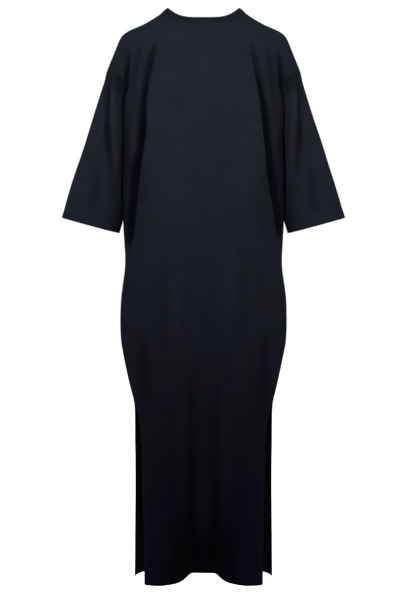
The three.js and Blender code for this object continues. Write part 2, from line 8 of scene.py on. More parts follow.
import bpy
import numpy as np
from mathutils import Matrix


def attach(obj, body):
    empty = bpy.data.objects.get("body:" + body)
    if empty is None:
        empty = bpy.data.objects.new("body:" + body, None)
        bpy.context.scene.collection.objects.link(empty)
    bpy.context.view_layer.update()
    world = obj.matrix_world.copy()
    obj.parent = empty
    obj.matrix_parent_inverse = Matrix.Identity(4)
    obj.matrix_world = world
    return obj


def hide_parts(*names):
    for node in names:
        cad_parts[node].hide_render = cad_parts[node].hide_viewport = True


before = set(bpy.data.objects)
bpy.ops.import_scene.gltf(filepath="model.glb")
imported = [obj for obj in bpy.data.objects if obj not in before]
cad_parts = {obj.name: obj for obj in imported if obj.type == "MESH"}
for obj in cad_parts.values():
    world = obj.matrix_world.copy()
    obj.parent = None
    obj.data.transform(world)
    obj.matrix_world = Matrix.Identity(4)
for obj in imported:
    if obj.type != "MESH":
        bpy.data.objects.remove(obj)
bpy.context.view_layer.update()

MM = 0.001
TINY = 1e-9

# Cloth: its walls, single and turned under, and how deep the seams lie in it
CLOTH = 1.0
TURNED_CLOTH = 2.0
DEEP_SEAM = 0.8
FLAT_SEAM = 0.15
STEEPEST_MITRE = 0.45

# Hem and slits: how much is turned under, and how much lower the cloth hangs than the solids
HEM_TURN = 20
TURNED_COLUMNS = 3
HEM_DROP = 1.8
HEM_DROP_RISE = 80

# Main heights and widths of the body
HEM_Z = -1250
SLIT_TOP_Z = -870
UNDERARM_Z = -276
NECK_SIDE = {"x": 93, "z": -11.5}
NECK_BACK = {"y": -55, "z": -43}
NECK_FRONT = {"y": 72, "z": -110}
BAND_SIDE = {"x": 78.8, "z": 0}
BAND_BACK = {"y": -42, "z": -28}
BAND_FRONT = {"y": 57, "z": -96}

# Roundness: of the roll over the shoulders, of the band's dip and of the floors of the broad folds
ROLL_AT_NECK = 1.92
ROLL_AT_ARMHOLE = 2.2
NO_DEPTH = 1
BAND_SQUARE = 3.4
DRAPE_LEVEL = 0.53
DRAPE_SQUARE = 2.4

# Cuff: middle, half width across the body, half depth, and how the opening tilts out and forwards
CUFF = {"x": 247.5, "y": 6, "z": -477, "half_width": 64.8, "half_depth": 56}
CUFF_TILT_OUT = math.radians(15.3)
CUFF_TILT_FORWARD = math.radians(3)
CUFF_SQUARE = 2.2

# Neckband: a doubled strip of rib knit with a rounded fold along its upper edge
BAND_CLOTH = 2.0
BAND_BULGE = 0.7
BAND_SEAM_POWER = 4
RIBS = 236
RIB_RELIEF = 0.28
# Painted shade in the furrows between the ribs
RIB_SHADE = 0.6
RIB_COLUMNS = 6
BAND_FACE_ROWS = 6
BAND_FOLD_ROWS = 4

# Sewing: how far each row lies from its edge, and the thread
HEM_ROWS = (17.5, 22.5)
SLIT_ROW = 9.0
NECK_ROW = 4.0
STITCH_PITCH = 3.2
STITCH_LENGTH = 2.6
STITCH_SIDES = 6
THREAD_RADIUS = 0.22

# Columns and rows of the pattern, and how finely each is divided
NECK_COLUMNS = {"back": 9, "front": 8}
SHOULDER_COLUMNS = 12
FOLD_COLUMNS = 2
COLUMN_SPLIT = 4
SECTION_STEPS = 480
BODY_ROW_STEP = 5.0
HEM_EDGE_ROWS = (0, 1, 4, 9, 14)
ROLL_ROWS = 60
SLEEVE_ROW_STEP = 4.0
GUIDE_END_Z = -545
EVEN_FROM_Z = -760

# Smoothing: how often rows and columns are evened out, its weights, and how lines are rounded
SMOOTH_PASSES = {"along": 24, "across": 4}
OWN_WEIGHT = 0.5
NEIGHBOUR_WEIGHT = 0.25
KNOT_POWER = 0.5
SPAN_PART = 4
SAME_PLACE_DIGITS = 2

# Armhole: how the rows crowd towards the shoulder, and how far in from the seam the panel follows it
ROW_CROWDING = 1.4
SCOOP_REACH = 0.5
ARMHOLE_REACH = {"underarm": 0.12, "shoulder": 0.4, "shoulder_from": 0.5}
ARMHOLE_FRONT_DEPTH = 0.96

# Sleeve: how narrow its inner and outer sides are, and how far the inner side is turned
INNER_SIDE_POWER = 3
INNER_SIDE_TURN = 0.35
INNER_EDGE_POWER = 2

# Thin cloth: how much finer its folds are than the solids', and its low swell between the seams
CLOTH_FOLD_DEEPER = 1.15
CLOTH_FOLD_NARROWER = 0.85
SWELL = {"height": 0.5, "waves": 14, "shortest": 55, "longest": 170, "upright": 0.6}
SWELL_FREE_STEPS = 6
SLEEVE_SEEDS = {-1: 7, 1: 11}

# Shade: the share of the colour lost in a full fold, how deep that is, and its limits
FOLD_SHADE = 0.68
SHADE_FULL_DEPTH = 9.0
DARKEST_SHADE = 1.15
LIGHTEST_SHADE = -0.4

# Knits: colour at the neck and at the hem (the jersey's and the thread's hem darker as painted shade), width
# and height of a stitch in metres, relief and sheen
KNITS = {
    "jersey_knit": ((0.0062, 0.0073, 0.0101), (0.0008, 0.0006, 0.0015), 0.0011, 0.0009, 0.5, 0.004),
    "rib_knit": ((0.0068, 0.0079, 0.0109), (0.0068, 0.0079, 0.0109), 0.0011, 0.0009, 0.4, 0.004),
    "thread": ((0.0120, 0.0138, 0.0190), (0.0030, 0.0026, 0.0050), 0.0006, 0.0006, 0.6, 0.02),
}
# Height in metres from which up the neck colour holds; below it the colour darkens towards the hem as painted
# shade
TOP_COLOUR_Z = 0.04
ROUGHNESS = 0.88
SHEEN_ROUGHNESS = 0.5
SHEEN_TINT = (0.62, 0.66, 0.82, 1)

# Relief of a stitch: its slanting legs, its loops, the fuzz over them, and its height in metres
LEG_RELIEF = 2.0
LOOP_RELIEF = 0.35
FUZZ_RELIEF = 0.6
RELIEF_HEIGHT = 0.0004

# Noises of the cloth, from the finest to the broadest
NOISES = {
    "fuzz": {"Scale": 900.0, "Detail": 3.0},
    "speckle": {"Scale": 260.0, "Detail": 3.0},
    "mottle": {"Scale": 26.0, "Detail": 5.0},
    "drift": {"Scale": 11.0, "Detail": 4.0},
}

# How dark and how light they make the colour (the furrow's darkness is painted shade), and the hues between
# which it drifts
TONES = {"speckle": (0.72, 1.28), "furrow": (0.62, 1.38), "mottle": (0.78, 1.22)}
DRIFT_HUES = ((0.84, 1.02, 1.08, 1), (1.16, 0.98, 0.92, 1))

# Sockets of a colour mix node
MIX_FIRST = 6
MIX_SECOND = 7
MIX_RESULT = 2

# Stage: a pale floor under the dress, and large soft lamps with their places, sizes and power in watts
FLOOR = {"z": -1.36, "half": 20.0, "glow": 0.15, "roughness": 0.9}
FLOOR_PAINT = (0.95, 0.95, 0.95, 1)
WHITE = (1, 1, 1, 1)
LAMP_AIM = (0, 0, -0.45)
LAMPS = {
    "near": ((-0.2, -3.2, 0.7), 1.4, 170),
    "far": ((0.2, 3.2, 0.7), 1.4, 170),
    "left": ((-2.8, 0, 0.3), 1.6, 55),
    "right": ((2.8, 0, 0.3), 1.6, 55),
}

# Camera: straight behind the dress, level, at the photo's distance and framing
CAMERA_PLACE = (-0.0077, -3.0, -0.641)
CAMERA_LENS = 82
CAMERA_SENSOR = 36


def table(columns, rows):
    """Named columns of a short table whose first column is its key, in rising order of the key."""
    ordered = sorted(rows)
    return {name: np.array([row[k] for row in ordered], float) for k, name in enumerate(columns)}


def tables(columns, *lists):
    return [table(columns, rows) for rows in lists]


# Level cuts through the body: half width at the side seam, how far the back and the front stand out,
# and how square each is.
LEVELS = table(["z", "side", "back", "front", "square_back", "square_front"], [
    (-276, 174.5, 105, 104, 2.2, 2.2),
    (-340, 176.4, 104, 104, 2.2, 2.2),
    (-473, 176.3, 101, 102, 2.2, 2.2),
    (-515, 173.8, 100, 101, 2.2, 2.2),
    (-564, 171.1, 100, 100, 2.2, 2.2),
    (-600, 176.3, 103, 101, 2.2, 2.2),
    (-641, 181.1, 107, 102, 2.2, 2.2),
    (-690, 182.9, 110, 103, 2.2, 2.2),
    (-729, 181.3, 111, 104, 2.2, 2.2),
    (-772, 173.3, 110, 105, 2.2, 2.2),
    (-816, 164.0, 106, 107, 2.2, 2.2),
    (-870, 151.0, 101, 109, 2.2, 2.2),
    (-950, 134.5, 96, 115, 2.3, 2.1),
    (-1030, 133.0, 94, 120, 2.6, 2.1),
    (-1145, 129.3, 93, 125, 2.8, 2.1),
    (-1250, 125.5, 93, 130, 3.0, 2.1),
])

# The open edges of the side slits, on the +X side.
SLIT_EDGES = table(["z", "back_x", "back_y", "front_x", "front_y"], [
    (-870, 151.0, 0, 151.0, 0),
    (-878, 145.5, -4, 151.0, 4),
    (-919, 138.2, -12, 150.8, 9),
    (-946, 134.7, -20, 150.9, 12),
    (-1032, 133.0, -32, 150.9, 17),
    (-1145, 129.3, -46, 151.5, 20),
    (-1250, 127.8, -59, 152.3, 24),
])

# Folds, narrow and broad: where each runs, how deep it pushes in, and its reach or half its width.
FOLD = ["z", "x", "depth", "reach"]
DRAPE = ["z", "x", "depth", "half"]

# Broad folds of the skirt.
BACK_DRAPES = tables(
    DRAPE,
    [
        (-700, 0, 0, 27), (-760, 0, 8, 29), (-815, 0, 26, 31), (-870, 0, 50, 33),
        (-950, 0, 90, 35), (-1030, 0, 112, 37), (-1145, 0, 131, 39), (-1250, 0, 149, 41.8),
    ],
)
FRONT_DRAPES = tables(
    DRAPE,
    [(-740, -70, 0, 20), (-870, -74, 12, 21), (-1030, -78, 22, 22), (-1250, -80, 28, 23)],
    [(-720, 66, 0, 20), (-870, 72, 14, 21), (-1030, 77, 23, 22), (-1250, 78, 30, 23.5)],
)

# Narrow folds. The first two of each panel start at the neck's corners, and its columns run along them.
BACK_FOLDS = tables(
    FOLD,
    [
        (-70, -98, 0, 10), (-112, -111, 5, 12), (-185, -127, 8, 13), (-225, -132, 9.5, 14),
        (-274, -134, 13.5, 16), (-363, -147, 14, 17), (-481, -159, 11, 16), (-545, -166, 0, 14),
    ],
    [
        (-72, 100, 0, 10), (-131, 112, 5, 12), (-202, 128, 9, 14), (-289, 140, 13, 16),
        (-363, 147, 13, 16), (-452, 161, 10, 15), (-515, 166, 0, 14),
    ],
    [(-80, -162, 0, 9), (-120, -164, 5, 10), (-172, -167, 8, 10), (-200, -171, 0, 10)],
    [(-80, 162, 0, 9), (-120, 164, 5, 10), (-172, 167, 8, 10), (-200, 171, 0, 10)],
)
FRONT_FOLDS = tables(
    FOLD,
    [(-90, -112, 0, 11), (-185, -127, 9, 14), (-300, -139, 12, 17), (-420, -150, 8, 16), (-500, -158, 0, 14)],
    [(-84, 110, 0, 11), (-170, 124, 10, 14), (-290, 137, 12, 17), (-440, 152, 9, 16), (-530, 160, 0, 14)],
)

# Creases and ridges (negative depth) of the sleeves, on the +X side.
SLEEVE_BACK_FOLDS = tables(
    FOLD,
    [(-130, 203, 0, 12), (-193, 210, 6.5, 12), (-285, 206, 7, 12), (-335, 200, 5, 12), (-385, 195, 0, 12)],
    [(-330, 226, 0, 16), (-385, 233, 2.6, 18), (-430, 237, 3, 18), (-472, 240, 0, 16)],
    [(-160, 197, 0, 12), (-210, 196, -3, 13), (-330, 192, -3, 13), (-380, 189, 0, 12)],
)
SLEEVE_FRONT_FOLDS = tables(FOLD, [(-160, 208, 0, 14), (-220, 211, 6, 15), (-340, 204, 0, 14)])

# Soft creases that only the cloth has.
BACK_CREASES = tables(
    FOLD,
    [(-500, -57, 0, 20), (-600, -57, -2.2, 22), (-700, -55, -1.5, 20), (-760, -54, 0, 20)],
    [(-480, 57, 0, 20), (-590, 58, -2.2, 22), (-690, 57, -1.5, 20), (-750, 56, 0, 20)],
    [(-500, -88, 0, 18), (-600, -88, 1.6, 20), (-700, -86, 1.4, 20), (-770, -84, 0, 18)],
    [(-490, 86, 0, 18), (-590, 86, 1.6, 20), (-690, 85, 1.4, 20), (-760, 83, 0, 18)],
    [(-690, -132, 0, 18), (-740, -131, 3.5, 22), (-830, -124, 4, 22), (-900, -116, 0, 18)],
    [(-680, 133, 0, 18), (-745, 131, 3.5, 22), (-850, 123, 4, 22), (-930, 115, 0, 18)],
    [(-60, -128, 0, 9), (-100, -138, 2.2, 11), (-170, -149, 2.6, 12), (-240, -155, 0, 10)],
    [(-66, 130, 0, 9), (-115, 139, 2.4, 11), (-190, 150, 2.4, 12), (-255, 156, 0, 10)],
)
FRONT_CREASES = tables(
    FOLD,
    [(-470, -62, 0, 22), (-570, -60, -2, 24), (-690, -57, 0, 20)],
    [(-520, 55, 0, 20), (-640, 57, -2.2, 22), (-760, 58, 0, 20)],
    [(-70, -132, 0, 9), (-130, -142, 2.4, 11), (-235, -152, 0, 10)],
    [(-62, 128, 0, 9), (-120, 140, 2.2, 11), (-220, 151, 0, 10)],
)

# The shoulder seam on the +X side, from the neck seam out to the armhole seam, all at y = 0.
SHOULDER_LINE = [
    (93, 0, -11.5), (101.3, 0, -17.7), (130.4, 0, -35.2), (166.6, 0, -51.8), (178.2, 0, -60.7),
    (184.3, 0, -70.3), (193.5, 0, -92.3), (202.3, 0, -114.2), (212.6, 0, -139),
]

# The armhole seam over the back of the +X side, from the underarm up to the shoulder seam.
ARMHOLE_LINE = [
    (179.5, 0, -268), (176, -28, -236), (171, -42, -195), (169.5, -50, -173),
    (182.5, -60, -159), (196, -40, -150), (212.6, 0, -139),
]

# How far the armhole is scooped out of the panel's side, as a share of its half width, from the underarm up.
ARMHOLE_SCOOP = table(["along", "scoop"], [
    (0, 0), (0.22, 0.12), (0.44, 0.18), (0.55, 0.21), (0.66, 0.21), (0.78, 0.12), (1, 0),
])

# How the sleeve's tube departs from straight lines between armhole and cuff: its inner side inwards,
# its outer side outwards and all of it forwards, and how far it stays clear of the body.
SLEEVE_SHAPE = table(["along", "inward", "outward", "forward", "clear"], [
    (0, 0, 0, 0, 0),
    (0.06, 0.5, -1.2, 2, 6),
    (0.15, 9, -0.8, 4, 5),
    (0.3, 14, -0.3, 8, 3),
    (0.5, 14, 0.8, 10, 3),
    (0.85, 9, 2.8, 5, 3),
    (1, 0, 1.5, 0, 3),
])

# The sleeves' shade on the body: from how far off the middle, over how far it comes on, and how dark it is.
# The first is wide and faint, the second close to the sleeve.
SIDE = ["z", "from_x", "fade", "dark"]
SIDE_SHADES = tables(
    SIDE,
    [
        (-60, 100, 60, 0), (-160, 105, 60, 0.35), (-300, 110, 50, 0.3),
        (-430, 80, 60, 0.3), (-560, 90, 80, 0.1), (-700, 110, 60, 0),
    ],
    [
        (-200, 168, 12, 0), (-260, 160, 12, 0.3), (-330, 150, 12, 0.4),
        (-420, 145, 12, 0.3), (-480, 150, 12, 0.3), (-540, 165, 12, 0),
    ],
)

# Painted light (negative) and painted shade on the back's middle fold: its floor, its walls and the lobes
# beside it.
SKIRT_SHADE = table(["z", "floor", "walls", "lobes"], [
    (-790, 0, 0, 0),
    (-853, -0.5, -0.4, 0),
    (-900, -0.6, -0.8, 0),
    (-959, -1.0, -1.0, -0.1),
    (-1050, -1.6, -1.0, -0.3),
    (-1108, -2.2, -0.35, -0.5),
    (-1150, -1.3, 0.4, -0.55),
    (-1193, -0.3, 1.0, -0.6),
    (-1250, 0, 0.9, -0.5),
])

# Reach of the painted light and shade of the fold's floor and walls as shares of its half width, and where
# its middle and lobes lie.
FLOOR_REACH = 0.8
WALL_REACH = 0.9
LOBES_FROM = (60, 95)
MIDDLE_TO = (30, 55)

# Painted light: the front's bands beside the slits are a little lighter (negative) where they show from
# behind.
SLIT_SHADE = table(["z", "dark"], [(-850, 0), (-890, -0.9), (-1000, -1.1), (-1108, -0.7), (-1200, 0)])
SLIT_BAND = (112, 135)

# Painted shade on the sleeve: how dark it is all round, against the body, and next to its seam under the
# shoulder.
SLEEVE_SHADE = table(["along", "all_round", "against_body", "at_seam"], [
    (0, 0.2, 0, 0.8),
    (0.05, 0.2, 0.4, 0.8),
    (0.1, 0.2, 1.0, 0.3),
    (0.16, 0.2, 1.2, 0),
    (0.4, 0.12, 1.2, 0),
    (0.8, 0, 1.2, 0),
    (1, 0, 1.2, 0),
])

# Painted shade along the armhole seams: how dark the panels are there, how far in, and between which heights
# it comes on.
SEAM_SHADE = {"dark": 0.8, "reach": 8, "from_z": -150, "to_z": -200}

# One stitch from end to end: share of its length, share of the thread's thickness, height above the cloth.
STITCH = table(["along", "thick", "lift"], [
    (-0.5, 0.5, -0.25), (-0.32, 1, 0.02), (0, 1, 0.1), (0.32, 1, 0.02), (0.5, 0.5, -0.25),
])


def panel_facts(name, **own):
    """A panel's own facts, with its columns and the names of its values in the tables."""
    return {
        "columns": NECK_COLUMNS[name],
        "depth": name,
        "square": f"square_{name}",
        "edge": (f"{name}_x", f"{name}_y"),
        **own,
    }


BACK = panel_facts(
    "back", facing=-1, seed=3, drapes=BACK_DRAPES, folds=BACK_FOLDS, creases=BACK_CREASES, neck=NECK_BACK,
)
FRONT = panel_facts(
    "front", facing=1, seed=5, drapes=FRONT_DRAPES, folds=FRONT_FOLDS, creases=FRONT_CREASES, neck=NECK_FRONT,
)


def smooth_value(rows, name, at, key="z"):
    """Smooth value of one column between the rows of a table, without overshooting them."""
    x, y = rows[key], rows[name]
    slope = np.diff(y) / np.diff(x)
    both = slope[:-1] * slope[1:]
    total = np.where(both > 0, slope[:-1] + slope[1:], 1)
    tangent = np.concatenate([slope[:1], np.where(both > 0, 2 * both / total, 0), slope[-1:]])
    at = np.clip(at, x[0], x[-1])
    k = np.clip(np.searchsorted(x, at, side="right") - 1, 0, len(x) - 2)
    span = x[k + 1] - x[k]
    t = (at - x[k]) / span
    start = y[k] * (1 + 2 * t) * (1 - t) ** 2 + span * tangent[k] * t * (1 - t) ** 2
    end = y[k + 1] * t * t * (3 - 2 * t) - span * tangent[k + 1] * t * t * (1 - t)
    return start + end


def power(value, exponent):
    return np.sign(value) * np.abs(value) ** exponent


def smoothstep(value, low, high):
    t = np.clip((value - low) / (high - low), 0, 1)
    return t * t * (3 - 2 * t)


def mix(a, b, share):
    return a + (b - a) * share


def trough(distance, reach):
    """A hollow with a round floor and round shoulders: 1 in its middle, 0 from its reach outwards."""
    return np.cos(np.minimum(1, np.abs(distance) / reach) * math.pi / 2) ** 2


def ease_out(distance):
    """1 at 0, falling smoothly to 0 at 1 and beyond."""
    t = np.minimum(1, distance)
    return (1 - t) ** 2 * (1 + 2 * t)


def drape_share(distance, half):
    """Share of a broad fold's depth at a distance from its middle: level there, then falling steeply."""
    past = np.maximum(0, np.abs(distance) / half - DRAPE_LEVEL) / (1 - DRAPE_LEVEL)
    return 1 / (1 + past ** DRAPE_SQUARE)


def fold_depth(folds, x, z):
    """How deep the narrow folds together push the cloth in at x and z."""
    depth = np.zeros_like(x)
    for fold in folds:
        offset = x - smooth_value(fold, "x", z)
        inside = (z >= fold["z"][0]) & (z <= fold["z"][-1])
        depth += inside * smooth_value(fold, "depth", z) * trough(offset, smooth_value(fold, "reach", z))
    return depth


def unit(vectors):
    return vectors / np.maximum(TINY, np.linalg.norm(vectors, axis=-1, keepdims=True))


def lengths_of(line):
    """How far along a line of points each of them lies."""
    return np.concatenate([[0], np.cumsum(np.linalg.norm(np.diff(line, axis=0), axis=1))])


def along_line(line, shares):
    """Points at given shares of the length of a line of points."""
    lengths = lengths_of(line)
    target = np.asarray(shares) * lengths[-1]
    return np.stack([np.interp(target, lengths, line[:, axis]) for axis in range(3)], axis=1)


def smooth_line(corners, steps):
    """A centripetal Catmull-Rom curve through the corners, as points at even lengths."""
    p = np.array(corners, float)
    p = np.vstack([2 * p[0] - p[1], p, 2 * p[-1] - p[-2]])
    dense = []
    for k in range(1, len(p) - 2):
        near = p[k - 1:k + 3]
        chords = np.linalg.norm(np.diff(near, axis=0), axis=1)
        knots = np.concatenate([[0], np.cumsum(chords ** KNOT_POWER)])
        t = np.linspace(knots[1], knots[2], steps // SPAN_PART)[:, None]
        level = list(near)
        for gap in (1, 2):
            level = [
                ((end - t) * level[j] + (t - start) * level[j + 1]) / (end - start)
                for j, (start, end) in enumerate(zip(knots, knots[gap:]))
            ]
        span = knots[2] - knots[1]
        dense.append(((knots[2] - t) * level[0] + (t - knots[1]) * level[1]) / span)
    return along_line(np.vstack(dense), np.linspace(0, 1, steps))


def level_line(panel, z):
    """A level cut through one panel, from its -X edge to its +X edge."""
    edge_x = smooth_value(LEVELS, "side", z)
    edge_y = 0.0
    if z < SLIT_TOP_Z:
        edge_x = smooth_value(SLIT_EDGES, panel["edge"][0], z)
        edge_y = smooth_value(SLIT_EDGES, panel["edge"][1], z)
    depth = smooth_value(LEVELS, panel["depth"], z) - panel["facing"] * edge_y
    round_ = 2 / smooth_value(LEVELS, panel["square"], z)
    angle = np.linspace(-math.pi / 2, math.pi / 2, SECTION_STEPS + 1)
    x = edge_x * power(np.sin(angle), round_)
    y = edge_y + panel["facing"] * depth * np.maximum(0, np.cos(angle)) ** round_
    for drape in panel["drapes"]:
        middle = smooth_value(drape, "x", z)
        half = smooth_value(drape, "half", z)
        at_edge = drape_share(edge_x - abs(middle), half)
        sunk = np.maximum(0, drape_share(x - middle, half) - at_edge) / (1 - at_edge)
        y -= panel["facing"] * smooth_value(drape, "depth", z) * sunk
    return np.stack([x, y, np.full_like(x, z)], axis=1)


def share_within(line, x):
    """Share of a line's length that lies within x of the middle."""
    steps = np.linalg.norm(np.diff(line, axis=0), axis=1)
    return steps[np.abs(line[1:, 0]) <= x].sum() / steps.sum()


def column_shares(panel, z, fold_share, reach_share):
    """Shares of a half panel's width at its columns: crowded along the long fold, even below the hips."""
    start = fold_share - reach_share
    end = min(fold_share + reach_share, (fold_share + 1) / 2)
    guided = np.concatenate([
        np.linspace(0, start, panel["columns"] - FOLD_COLUMNS + 1)[:-1],
        np.linspace(start, fold_share, FOLD_COLUMNS + 1)[:-1],
        np.linspace(fold_share, end, FOLD_COLUMNS + 1)[:-1],
        np.linspace(end, 1, SHOULDER_COLUMNS - FOLD_COLUMNS + 1),
    ])
    even = np.linspace(0, 1, len(guided))
    coarse = even + (guided - even) * smoothstep(z, EVEN_FROM_Z, GUIDE_END_Z)
    places = np.linspace(0, len(guided) - 1, (len(guided) - 1) * COLUMN_SPLIT + 1)
    return np.interp(places, np.arange(len(guided)), coarse)


def level_row(panel, z):
    """One level row of a panel's points, and where its columns lie as shares of each half's width."""
    line = level_line(panel, z)
    middle = SECTION_STEPS // 2
    halves = [line[:middle + 1][::-1], line[middle:]]
    points, shares = [], []
    for half, fold in zip(halves, panel["folds"]):
        x = abs(smooth_value(fold, "x", z))
        at_fold = share_within(half, x)
        reach = at_fold - share_within(half, x - smooth_value(fold, "reach", z))
        shares.append(column_shares(panel, z, at_fold, reach))
        points.append(along_line(half, shares[-1]))
    return np.vstack([points[0][::-1], points[1][1:]]), shares


def band_dip(angle):
    """How far the band's upper edge dips at angles from the middle of the panel: 1 there, 0 at the side."""
    return 1 - np.abs(np.sin(angle)) ** BAND_SQUARE


def ring_point(side, middle, dip, angle):
    """Points of the neck seam or of the band's upper edge at angles from the middle of the panel."""
    x = side["x"] * np.sin(angle)
    z = side["z"] + (middle["z"] - side["z"]) * dip(angle)
    return np.stack([x, middle["y"] * np.cos(angle), z], axis=1)


def top_row(panel):
    """The panel's upper edge: shoulder seam, neck seam, shoulder seam."""
    shoulder = smooth_line(SHOULDER_LINE, SHOULDER_COLUMNS * COLUMN_SPLIT + 1)
    angles = np.linspace(-math.pi / 2, math.pi / 2, panel["columns"] * 2 * COLUMN_SPLIT + 1)
    mirrored = shoulder * (-1, 1, 1)
    return np.vstack([mirrored[1:][::-1], ring_point(NECK_SIDE, panel["neck"], np.cos, angles), shoulder[1:]])


def armhole_line(facing, side):
    """The armhole seam of one side of one panel, from the underarm to the shoulder."""
    depth = 1 if facing < 0 else ARMHOLE_FRONT_DEPTH
    return smooth_line(ARMHOLE_LINE, ROLL_ROWS + 1) * (side, -depth * facing, 1)


def roll_points(low, high, share, from_fold):
    """Points of the panel between the underarm level and the upper edge, rolling over."""
    outward = smoothstep(from_fold, 0, 1)
    round_ = 2 / mix(ROLL_AT_NECK, ROLL_AT_ARMHOLE, outward)
    flat = np.abs(low[:, 1]) < NO_DEPTH
    end_cos = np.where(flat, 0, np.clip(high[:, 1] / np.where(flat, 1, low[:, 1]), 0, 1))
    end_angle = np.arccos(end_cos ** (1 / round_))
    angle = end_angle * share
    cos = np.maximum(0, np.cos(angle)) ** round_
    rise = np.sin(angle) ** round_ / np.sin(end_angle) ** round_
    turn = (1 - cos) / (1 - end_cos)
    return np.stack([
        low[:, 0] + (high[:, 0] - low[:, 0]) * mix(rise, turn, outward),
        low[:, 1] * cos,
        low[:, 2] + (high[:, 2] - low[:, 2]) * rise,
    ], axis=1)


def body_heights():
    """Level rows from the hem to just under the underarm, closer together at the hem's edge."""
    near_hem = [HEM_Z + rise for rise in HEM_EDGE_ROWS]
    below = np.arange(HEM_Z + HEM_TURN, SLIT_TOP_Z, BODY_ROW_STEP)
    above = np.arange(SLIT_TOP_Z, UNDERARM_Z - BODY_ROW_STEP / 2, BODY_ROW_STEP)
    return np.concatenate([near_hem, below, above])


def smoothed(grid, axis, passes):
    """Evens out a grid of points along one axis, leaving all its edges where they are."""
    result = grid.copy()
    for _ in range(passes):
        lines = np.moveaxis(result, axis, 0)
        beside = lines[:-2] + lines[2:]
        middle = lines[1:-1] * OWN_WEIGHT + beside * NEIGHBOUR_WEIGHT
        lines = np.concatenate([lines[:1], middle, lines[-1:]])
        moved = np.moveaxis(lines, 0, axis)
        result[1:-1, 1:-1] = moved[1:-1, 1:-1]
    return result


def panel_grid(panel):
    """A panel's rows of points from the hem to its upper edge, and how many of them are level."""
    rows = [level_row(panel, z)[0] for z in body_heights()]
    level_count = len(rows)
    low, (left, right) = level_row(panel, UNDERARM_Z)
    high = top_row(panel)
    last = len(low) - 1
    index = np.arange(last + 1)
    is_right = index > last / 2
    shares = np.concatenate([left[::-1], right[1:]])
    fold_column = panel["columns"] * COLUMN_SPLIT
    fold_share = np.where(is_right, right[fold_column], left[fold_column])
    armholes = {False: armhole_line(panel["facing"], -1), True: armhole_line(panel["facing"], 1)}
    for k in range(ROLL_ROWS + 1):
        along = k / ROLL_ROWS
        scoop = smooth_value(ARMHOLE_SCOOP, "scoop", along, "along")
        cut = shares - scoop * ease_out((1 - shares) / SCOOP_REACH)
        place = np.where(
            is_right,
            last / 2 + np.interp(cut, right, np.arange(len(right))),
            last / 2 - np.interp(cut, left, np.arange(len(left))),
        )
        low_at, high_at = (
            np.stack([np.interp(place, index, row[:, axis]) for axis in range(3)], axis=1)
            for row in (low, high)
        )
        from_fold = (cut - fold_share) / (1 - fold_share)
        plain = roll_points(low_at, high_at, along ** ROW_CROWDING, from_fold)
        shifts = np.where(
            is_right[:, None],
            armholes[True][k] - plain[-1],
            armholes[False][k] - plain[0],
        )
        at_shoulder = smoothstep(along, 0, ARMHOLE_REACH["shoulder_from"])
        reach = mix(ARMHOLE_REACH["underarm"], ARMHOLE_REACH["shoulder"], at_shoulder)
        rows.append(plain + shifts * ease_out((1 - shares) / reach)[:, None])
    grid = smoothed(np.array(rows), 0, SMOOTH_PASSES["along"])
    return smoothed(grid, 1, SMOOTH_PASSES["across"]), level_count


def grid_normals(grid, closed, sign):
    """Unit directions out of a grid of points, whose columns join up where it is closed."""
    if closed:
        across = np.roll(grid, -1, axis=1) - np.roll(grid, 1, axis=1)
    else:
        across = np.gradient(grid, axis=1)
    return unit(np.cross(across, np.gradient(grid, axis=0)) * sign)


def unevenness(grid, seed):
    """A low, smooth random swell, the same on every run."""
    draw = np.random.default_rng(seed)
    swell = np.zeros(grid.shape[:2])
    for _ in range(SWELL["waves"]):
        wavelength = draw.uniform(SWELL["shortest"], SWELL["longest"])
        heading = draw.normal(size=3) * (1, 1, SWELL["upright"])
        heading /= np.linalg.norm(heading)
        swell += np.sin(grid @ heading * 2 * math.pi / wavelength + draw.uniform(0, 2 * math.pi))
    return swell * SWELL["height"] / math.sqrt(SWELL["waves"] / 2)


def edge_guard(shape, closed):
    """0 at a seam or edge, rising to 1 a few steps inside it."""
    rows, columns = shape
    from_row = np.minimum(np.arange(rows), np.arange(rows)[::-1])[:, None]
    guard = np.repeat(from_row, columns, axis=1)
    if not closed:
        from_column = np.minimum(np.arange(columns), np.arange(columns)[::-1])[None, :]
        guard = np.minimum(guard, from_column)
    return np.minimum(1, guard / SWELL_FREE_STEPS)


def sharpened(folds):
    """The folds as the thin cloth has them: deeper and narrower than the solid walls can be."""
    finer = {"depth": CLOTH_FOLD_DEEPER, "reach": CLOTH_FOLD_NARROWER}
    return [{name: values * finer.get(name, 1) for name, values in fold.items()} for fold in folds]


def shade_of(depth):
    """Painted shade at the depth of the cloth's folds, and painted light (lighter) on its ridges."""
    return np.maximum(depth / SHADE_FULL_DEPTH, LIGHTEST_SHADE)


